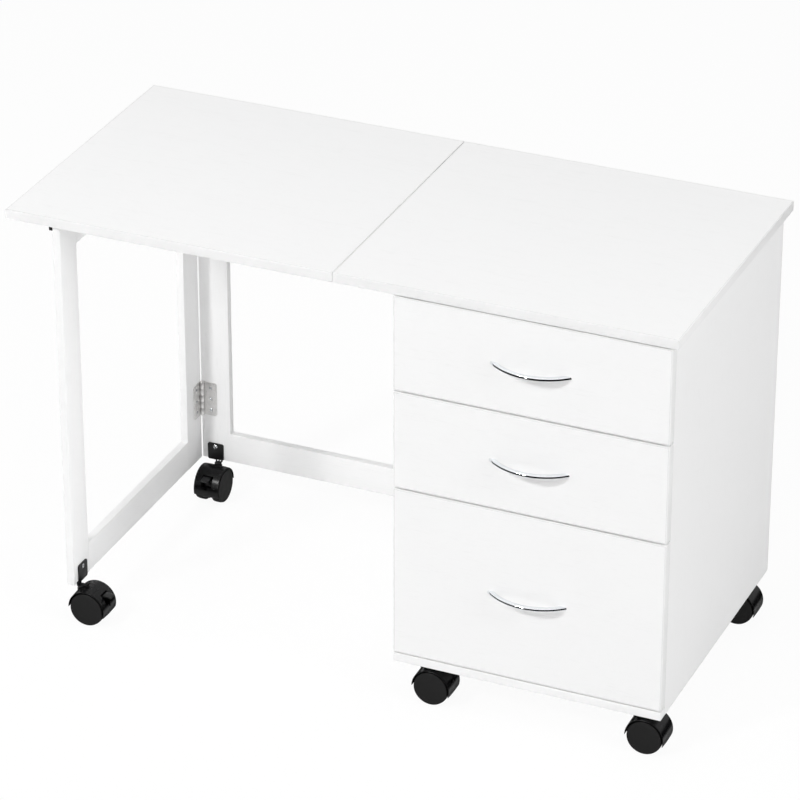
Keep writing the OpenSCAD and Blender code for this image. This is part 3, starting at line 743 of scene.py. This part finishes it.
# Butt hinges
# Four steel butt hinges, nickel plated and dulled by barrelling. Each leaf is stamped from 1.4 mm strip with
# rounded corners and three countersunk holes, and its knuckles are rolled round a 3 mm pin.
satin_nickel = plated_metal("satin_nickel_plate", "#e2e1e0", roughness=0.32, scratch_axis=along_z,
                            shade="#b7b6b4")
joint_place = {joint["name"]: Vector(joint["pos_m"]) for joint in frame["joints"] if "pos_m" in joint}
hinge_height = 0.063
knuckle_number = 5
knuckle_length = hinge_height / knuckle_number
knuckle_radius = 0.0036
pin_radius = 0.0016
leaf_thickness = 0.0014
face_from_pin = 0.004
hinge_screw_step = 0.021


def leaf_holes(width):
    """Places of the three screws on a leaf, on its visible face."""
    return [Vector(((knuckle_radius + width) / 2, face_from_pin - leaf_thickness, row * hinge_screw_step))
            for row in (-1, 0, 1)]


def slab(points, depth):
    """A flat outline pulled out into a plate by the given vector."""
    plate = outline(points)
    open_mesh()
    bpy.ops.mesh.extrude_region_move(TRANSFORM_OT_translate={"value": depth})
    bpy.ops.mesh.select_all(action="SELECT")
    bpy.ops.mesh.normals_make_consistent(inside=False)
    close_mesh()
    return plate


def soften(piece, radius, least_angle=40, segments=2):
    """Rounds every edge that is sharper than the given angle."""
    select_only(piece)
    rim = piece.modifiers.new("rim", "BEVEL")
    rim.width = radius
    rim.segments = segments
    rim.limit_method = "ANGLE"
    rim.angle_limit = math.radians(least_angle)
    bpy.ops.object.modifier_apply(modifier="rim")
    return piece


def corner_arc(u, v, radius, from_turn, steps=6):
    """Points of a quarter circle about (u, v), counted in quarter turns from +u."""
    turns = [(from_turn + k / steps) * math.pi / 2 for k in range(steps + 1)]
    return [(u + radius * math.cos(turn), v + radius * math.sin(turn)) for turn in turns]


def hinge_leaf(width, first_knuckle, has_pin):
    """One leaf: its pin stands on Z at the origin, its plate reaches to +X and lies against wood at +Y."""
    corner = 0.0042
    half = hinge_height / 2
    hole_radius = 0.0017
    sink_radius = 0.0037
    sink_depth = 0.0022
    sink_shift = 0.0006
    knuckle_play = 0.00015
    notch_play = 0.0004
    pin_play = 0.00005
    pin_cap_radius = 0.0031
    pin_cap_height = 0.0009
    edge = [(0, -half)] + corner_arc(width - corner, -half + corner, corner, 3) + \
        corner_arc(width - corner, half - corner, corner, 0) + [(0, half)]
    plate = slab([(u, face_from_pin - leaf_thickness, v) for u, v in edge], (0, leaf_thickness, 0))
    for k in range(1 - first_knuckle, knuckle_number, 2):
        low = -half + k * knuckle_length
        carve(plate, round_bar(knuckle_radius + notch_play, (0, 0, low - knuckle_play),
                               (0, 0, low + knuckle_length + knuckle_play)))
    for hole in leaf_holes(width):
        select_nothing()
        bpy.ops.mesh.primitive_cone_add(vertices=32, radius1=hole_radius, radius2=sink_radius + overcut / 2,
                                        depth=sink_depth)
        sink = bpy.context.object
        sink_place = hole + Vector((0, sink_shift, 0))
        sink.data.transform(Matrix.Translation(sink_place) @ Matrix.Rotation(math.pi / 2, 4, "X"))
        carve(plate, sink)
        bore = Vector((0, 4 * overcut, 0))
        carve(plate, round_bar(hole_radius, hole - bore / 2, hole + bore, sides=24))
    soften(plate, radius=0.00018, least_angle=60)
    parts = [plate]
    for k in range(first_knuckle, knuckle_number, 2):
        low = -half + k * knuckle_length + knuckle_play
        knuckle = round_bar(knuckle_radius, (0, 0, low), (0, 0, low + knuckle_length - 2 * knuckle_play),
                            ease=0.00035)
        if not has_pin:
            carve(knuckle, round_bar(pin_radius + pin_play, (0, 0, -half - overcut), (0, 0, half + overcut),
                                     sides=24))
        parts.append(knuckle)
    if has_pin:
        parts.append(round_bar(pin_radius, (0, 0, -half), (0, 0, half), sides=24, ease=0.0003))
        for side in (-1, 1):
            cap_top = side * (half + pin_cap_height)
            parts.append(round_bar(pin_cap_radius, (0, 0, side * half), (0, 0, cap_top), ease=0.0004))
    leaf = merged("leaf", *parts)
    leaf.data.materials.append(satin_nickel)
    return leaf


def screw(metal, head_radius, head_height, shank_length):
    """A raised-head wood screw with a cross recess: head to -Z with its rim at z = 0, point to +Z."""
    shank_radius = 0.0015
    taper = 0.0013
    point_length = 0.0025
    dome = ((0, 1), (0.55, 0.9), (0.85, 0.55))
    profile = [(head_radius * out, 0, -head_height * up) for out, up in dome]
    profile += [(head_radius, 0, -0.0001), (head_radius * 0.97, 0, 0.00015), (shank_radius, 0, taper),
                (shank_radius, 0, shank_length - point_length), (0, 0, shank_length)]
    body = spun(profile, (0, 0, 0), (0, 0, 1), whole_turn, 24)
    arm = 0.58 * head_radius
    slot_half = 0.12 * head_radius
    deep = 0.4 * head_height
    for wide, narrow in ((arm, slot_half), (slot_half, arm)):
        carve(body, block((-wide, -narrow, -2 * head_height), (wide, narrow, deep)))
    body.data.materials.append(metal)
    return body


def hinge_places(axis_name, boxes_of):
    """Where the two hinges of a pair stand: on the joint's axis, level with the middles of the CAD leaves."""
    axis = joint_place[axis_name]
    return [Vector((axis.x, axis.y, (low.z + high.z) / 2)) for low, high in solid_boxes(boxes_of)]


quarter_turn = Matrix.Rotation(math.pi / 2, 4, "Z")
mirror_x = Matrix.Scale(-1, 4, (1, 0, 0))
for joint_name, fixed_node, fixed_body, moving_node, moving_body, to_other_leaf in (
        ("end_frame_fold", "corner_hinge_back", "back_frame", "corner_hinge_end", "end_frame",
         quarter_turn @ mirror_x),
        ("back_frame_fold", "cabinet_hinge_fixed", "cabinet", "cabinet_hinge_moving", "back_frame",
         mirror_x)):
    leaf_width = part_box(fixed_node)[1].x - joint_place[joint_name].x
    pinned = hinge_leaf(leaf_width, 0, True)
    loose = hinge_leaf(leaf_width, 1, False)
    places = hinge_places(joint_name, fixed_node)
    pinned_pair = merged(fixed_node + "_pair", *[
        twin(pinned, Matrix.Translation(place)) for place in places])
    loose_pair = merged(moving_node + "_pair", *[
        twin(loose, Matrix.Translation(place) @ to_other_leaf) for place in places])
    for leaf in (pinned, loose):
        bpy.data.objects.remove(leaf)
    fit(settle(pinned_pair), fixed_body, "hinge_steel", fixed_node)
    fit(settle(loose_pair), moving_body, "hinge_steel", moving_node)

# Screws
# Cross-recess wood screws, zinc plated: three in each hinge leaf and a bigger one in each caster bracket.
# Each stands where its CAD screw stands, with its head on the metal.
screw_zinc = plated_metal("screw_zinc_plate", "#d6d8da", roughness=0.24, scratch_axis=along_x,
                          scratch_width=0.0003)
hinge_screw = screw(screw_zinc, head_radius=0.0027, head_height=0.0006, shank_length=0.010)
bracket_screw = screw(screw_zinc, head_radius=0.004, head_height=0.0012, shank_length=0.010)
hinge_screw_stands = 0.0009
bracket_screw_stands = 0.0014
bracket_head_least = 0.007
first_turn = 0.4
turn_step = 1.1
into_y = Matrix.Rotation(-math.pi / 2, 4, "X")
into_minus_x = Matrix.Rotation(-math.pi / 2, 4, "Y")
for node, body in (
        ("post_screws", "cabinet"), ("back_frame_screws", "back_frame"), ("end_frame_screws", "end_frame")):
    placed = []
    for low, high in solid_boxes(node):
        middle = (low + high) / 2
        on_bracket = high.z - low.z > bracket_head_least
        pattern = bracket_screw if on_bracket else hinge_screw
        stands = bracket_screw_stands if on_bracket else hinge_screw_stands
        if high.y - low.y > high.x - low.x:
            spot = Vector((middle.x, low.y + stands, middle.z))
            turn = into_y
        else:
            spot = Vector((high.x - stands, middle.y, middle.z))
            turn = into_minus_x
        spin_about = Matrix.Rotation(first_turn + turn_step * len(placed), 4, "Z")
        placed.append(twin(pattern, Matrix.Translation(spot) @ turn @ spin_about))
    fit(settle(merged(node + "_set", *placed)), body, "screw_steel", node)

# Casters
# Six twin-wheel casters moulded in black nylon. A hood shades two wheels on one axle and turns on a stem. The
# cabinet's four have a round flange. The two frames' have a bracket with one screw, and a brake lever.
frame_steel = plain_plastic("black_coat_on_steel", "#0f0f10", roughness=0.42, ripple=0.0012,
                            ripple_depth=0.00003, specular=0.35)
wheel_nylon = plain_plastic("wheel_nylon", "#181818", roughness=0.5, ripple=0.0008, ripple_depth=0.00002,
                            specular=0.15)
tread_rubber = plain_plastic("tread_rubber", "#080808", roughness=0.7, ripple=0.0008, ripple_depth=0.00002,
                             specular=0.1)
hood_nylon = plain_plastic("hood_nylon", "#0b0b0c", roughness=0.24, ripple=0.0010, ripple_depth=0.00001,
                           specular=0.18)
wheel_radius = joint_place["roll_end"].z
trail = (joint_place["roll_end"] - joint_place["swivel_end"]).xy.length
caster_half_width = 0.023
wheel_width = 0.015
wheel_gap = 2 * (caster_half_width - wheel_width)
hood_radius = wheel_radius + 0.0035
hood_wall = 0.0015
hood_start = math.radians(-17)
web_half_width = wheel_gap / 2 - 0.0015
socket_radius = wheel_gap / 2 - 0.001
socket_low = 0.032
socket_high = wheel_radius + math.sqrt(hood_radius ** 2 - trail ** 2) + 0.0005
stem_radius = 0.0035
stem_low = 0.036
neck_radius = socket_radius - 0.001
neck_low = socket_high + 0.0004
neck_play = 0.0004
axle_radius = 0.003
axle_play = 0.0001
axle = Vector((trail, 0, wheel_radius))
lever_pivot = axle + Vector((0.014, 0, 0.0205))
lever_swing = math.radians(22)
lever_play = 0.0004
lever_hub_radius = 0.003
lever_pin_radius = 0.0015
lever_arm_width = 0.008
lever_arm_thickness = 0.003
lever_arm_length = 0.013
pedal_width = 0.014


def across(radius, half_width, place, sides=48, ease=0.0):
    """A round bar along Y through the given place."""
    reach = Vector((0, half_width, 0))
    return round_bar(radius, place - reach, place + reach, sides, ease)


def lever_sweep(length, half_width, half_thickness):
    """What the lever's arm sweeps from pressed to released, as a cutter."""
    low_cos = math.cos(lever_swing)
    low_sin = math.sin(lever_swing)
    corners = [(-half_thickness * low_sin, -half_thickness * low_cos),
               (length * low_cos - half_thickness * low_sin, -length * low_sin - half_thickness * low_cos),
               (length, half_thickness), (0, half_thickness)]
    return slab([lever_pivot + Vector((u, -half_width, v)) for u, v in corners], (0, 2 * half_width, 0))


def hood_window(low_turn, high_turn, depth, half_width):
    """A sector of the hood's barrel between two angles in degrees, as a cutter."""
    near = hood_radius - depth
    far = 1.5 * hood_radius
    corners = []
    for reach, turn in ((near, low_turn), (far, low_turn), (far, high_turn), (near, high_turn)):
        angle = math.radians(turn)
        corners.append(axle + Vector((reach * math.cos(angle), -half_width, reach * math.sin(angle))))
    return slab(corners, (0, 2 * half_width, 0))


def quarter_round(middle, reach, steps):
    """Points of a quarter turn in a profile of (along the axle, out from it), from its outermost point on."""
    turns = [k * math.pi / 2 / steps for k in range(steps + 1)]
    return [(middle[0] + reach[0] * math.sin(turn), middle[1] + reach[1] * math.cos(turn)) for turn in turns]


def hood(braked):
    """The hood: a crowned shell spun about the axle, a web between the wheels and a socket for the stem."""
    crown = 0.0006
    rim_reach = 0.0018
    rim_drop = 0.0007
    mouth_wall = 0.0015
    mouth_depth = 0.006
    web_drop = 0.012
    flat_half = caster_half_width - rim_reach
    rim = quarter_round((flat_half, hood_radius - crown - rim_drop), (rim_reach, rim_drop), steps=5)
    barrel = [(flat_half * k / 4, hood_radius - crown * (k / 4) ** 2) for k in range(-3, 4)]
    loop = [(-y, r) for y, r in reversed(rim)] + barrel + rim
    mouth = [(caster_half_width, hood_radius - mouth_wall),
             (caster_half_width - mouth_depth, hood_radius - hood_wall)]
    loop += mouth + [(-y, r) for y, r in reversed(mouth)]
    profile = [axle + Vector((r * math.cos(hood_start), y, r * math.sin(hood_start))) for y, r in loop]
    shell = spun(profile, axle, (0, 1, 0), math.pi - hood_start, 72)
    web = across(hood_radius - hood_wall / 2, web_half_width, axle, 96, 0.0008)
    cut_off(web, axle - Vector((0, 0, web_drop)), (0, 0, -1))
    carve(shell, web, "UNION")
    carve(shell, round_bar(socket_radius, (0, 0, socket_low), (0, 0, socket_high), 40, 0.0006), "UNION")
    above = (0, 0, socket_high + 10 * overcut)
    carve(shell, round_bar(stem_radius + axle_play, (0, 0, stem_low - overcut), above))
    carve(shell, round_bar(neck_radius + neck_play, (0, 0, socket_high), above, 40))
    carve(shell, across(axle_radius + axle_play, caster_half_width + 2 * overcut, axle, 32))
    if braked:
        slot_half = lever_arm_width / 2 + lever_play
        carve(shell, across(lever_hub_radius + lever_play, slot_half, lever_pivot, 32))
        carve(shell, lever_sweep(length=0.012, half_width=slot_half,
                                 half_thickness=lever_arm_thickness / 2 + lever_play))
        carve(shell, hood_window(low_turn=15, high_turn=51, depth=0.011, half_width=pedal_width / 2 + 0.003))
        carve(shell, hood_window(low_turn=5, high_turn=16, depth=0.0035, half_width=0.002))
        carve(shell, across(lever_pin_radius + axle_play, caster_half_width + 2 * overcut, lever_pivot, 24))
    shell.data.materials.append(hood_nylon)
    return shell


def wheel_pair():
    """Two moulded wheels: a crowned tread, a shoulder set back from it, and a faintly dished face."""
    inner_round = 0.0016
    hub_radius = 0.010
    hollow = 0.004
    crown = 0.0002
    inner = caster_half_width - wheel_width
    outer = caster_half_width
    tread = [(inner, 0), (inner, hub_radius), (inner + hollow, 0.0125), (inner + hollow, 0.0235),
             (inner, 0.0255)]
    tread += reversed(quarter_round((inner + inner_round, wheel_radius - crown - inner_round),
                                    (-inner_round, inner_round), steps=6))
    tread += [((inner + outer) / 2 - 0.001, wheel_radius), (outer - 0.0034, wheel_radius - crown),
              (outer - 0.0029, wheel_radius - 0.0006), (outer - 0.0026, wheel_radius - 0.0009)]
    shoulder = 0.0286
    shoulder_round = 0.0012
    tread += quarter_round((outer - shoulder_round, shoulder - shoulder_round),
                           (shoulder_round, shoulder_round), steps=6)
    tread += [(outer - 0.0002, 0.0262), (outer - 0.0005, 0.018), (outer - 0.0006, 0)]
    disc_depth = 0.0008
    disc_radius = 0.013
    parts = []
    for side in (-1, 1):
        wheel = spun([axle + Vector((r, side * y, 0)) for y, r in tread], axle, (0, 1, 0), whole_turn, 72)
        wheel.data.materials.append(wheel_nylon)
        wheel.data.materials.append(tread_rubber)
        open_mesh()
        pick(wheel, "faces", lambda face: abs(face.calc_center_median().y) < outer - disc_depth
             and (face.calc_center_median() - axle).xz.length > disc_radius)
        paint_faces(wheel, 1)
        close_mesh()
        parts.append(wheel)
    rod = across(axle_radius, wheel_gap / 2 - axle_play / 5, axle, 32)
    rod.data.materials.append(bright_zinc)
    return merged("pair", *parts, rod)


def brake_lever():
    """The lever: a hub on its pin, an arm through the slot, and a pedal whose tip rolls down at its end."""
    pin_play = 0.0005
    pin = across(lever_pin_radius, web_half_width - pin_play, Vector(), 24)
    hub = across(lever_hub_radius, lever_arm_width / 2, Vector(), 32, 0.0003)
    arm = block((0, -lever_arm_width / 2, -lever_arm_thickness / 2),
                (lever_arm_length, lever_arm_width / 2, lever_arm_thickness / 2))
    pedal_side = ((0.009, 0.0005), (0.009, 0.0036), (0.0105, 0.0040), (0.0185, 0.0040), (0.0222, 0.0034),
                  (0.0245, 0.0022), (0.025, 0.0013), (0.0245, 0.0005))
    pedal = slab([(u, -pedal_width / 2, v) for u, v in pedal_side], (0, pedal_width, 0))
    soften(pedal, radius=0.0006, least_angle=50, segments=3)
    lever = merged("lever", arm, pedal, hub, pin)
    lever.data.transform(Matrix.Translation(lever_pivot))
    lever.data.materials.append(black_nylon)
    return lever


patterns = {"hood": hood(False), "braked_hood": hood(True), "wheels": wheel_pair(), "lever": brake_lever()}
caster_move = {}
for caster in ("end", "back", "front_left", "front_right", "rear_left", "rear_right"):
    stem_place = joint_place["swivel_" + caster]
    heading = joint_place["roll_" + caster] - stem_place
    caster_move[caster] = Matrix.Translation((stem_place.x, stem_place.y, 0)) @ \
        Matrix.Rotation(math.atan2(heading.y, heading.x), 4, "Z")
for caster, move in caster_move.items():
    braked = caster in ("end", "back")
    pieces = [("braked_hood" if braked else "hood", "caster_hood_", "caster_", "hood_"),
              ("wheels", "caster_wheels_", "rollers_", "wheels_")]
    if braked:
        pieces.append(("lever", "brake_lever_", "lever_", "brake_"))
    for pattern, name, body, node in pieces:
        piece = twin(patterns[pattern], move)
        piece.name = name + caster
        fit(settle(piece), body + caster, "black_plastic", node + caster)
for pattern in patterns.values():
    bpy.data.objects.remove(pattern)

# Caster flanges and brackets
# Turned and pressed steel with a black coat. A round flange holds each stem up under the cabinet. A bracket
# lies on the slat's face and narrows to a slotted neck over its stem.
stem_lap = 0.001


def stem(neck_high):
    """The neck that sits on the hood's socket, and the stem below it."""
    neck = round_bar(neck_radius, (0, 0, neck_low), (0, 0, neck_high), 40, 0.0004)
    pin = round_bar(stem_radius, (0, 0, stem_low), (0, 0, neck_low + stem_lap), 32, 0.0004)
    return [neck, pin]


flange_radius = 0.011
flange_thickness = 0.0025
flange_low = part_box("caster_plates")[1].z - flange_thickness
flanges = []
for caster in ("front_left", "front_right", "rear_left", "rear_right"):
    disc = round_bar(flange_radius, (0, 0, flange_low), (0, 0, flange_low + flange_thickness), 48, 0.0004)
    flange = merged("flange", disc, *stem(flange_low + stem_lap))
    flange.data.materials.append(frame_steel)
    flange.data.transform(caster_move[caster])
    flanges.append(flange)
fit(settle(merged("cabinet_caster_flanges", *flanges)), "cabinet", "black_steel", "caster_plates")

bracket_thickness = 0.0025
bracket_half_width = 0.0145
bracket_corner = 0.0032
bracket_height = 0.031
neck_half_width = 0.006
neck_height = 0.0030
neck_slot = (0.0007, 0.0041)
neck_slot_rise = 0.0008
neck_lap = 0.0006
end_slat_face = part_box("end_front_stile")[1].x
back_slat_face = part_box("back_left_stile")[0].y
for node, body, caster, turn, face_y in (
        ("bracket_end", "end_frame", "end", math.pi / 2, joint_place["swivel_end"].x - end_slat_face),
        ("bracket_back", "back_frame", "back", 0, back_slat_face - joint_place["swivel_back"].y)):
    low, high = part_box(node)
    stem_place = joint_place["swivel_" + caster]
    to_desk = Matrix.Translation((stem_place.x, stem_place.y, 0)) @ Matrix.Rotation(turn, 4, "Z")
    corner_us = [(to_desk.inverted() @ Vector((x, y, 0))).x for x in (low.x, high.x) for y in (low.y, high.y)]
    shift = max(corner_us) - bracket_half_width if turn else min(corner_us) + bracket_half_width
    bottom = high.z - bracket_height
    neck_bottom = bottom - neck_height
    right = shift + bracket_half_width - bracket_corner
    left = shift - bracket_half_width + bracket_corner
    upper = high.z - bracket_corner
    lower = bottom + bracket_corner
    edge = []
    for quarter, (u, v) in enumerate(((right, upper), (left, upper), (left, lower), (right, lower))):
        edge += corner_arc(u, v, bracket_corner, quarter)
    plate = slab([(u, face_y - bracket_thickness, v) for u, v in edge], (0, bracket_thickness, 0))
    carve(plate, block((-neck_half_width, face_y - bracket_thickness, neck_bottom),
                       (neck_half_width, face_y, lower)), "UNION")
    for side in (-1, 1):
        near, far = sorted(side * place for place in neck_slot)
        carve(plate, block((near, face_y - 2 * bracket_thickness, neck_bottom - overcut),
                           (far, face_y + overcut, bottom + neck_slot_rise)))
    soften(plate, radius=0.0003, least_angle=50)
    bracket = merged(node + "_plate", plate, *stem(neck_bottom + neck_lap))
    bracket.data.materials.append(frame_steel)
    bracket.data.transform(to_desk)
    fit(settle(bracket), body, "black_steel", node)
for pattern in (hinge_screw, bracket_screw):
    bpy.data.objects.remove(pattern)
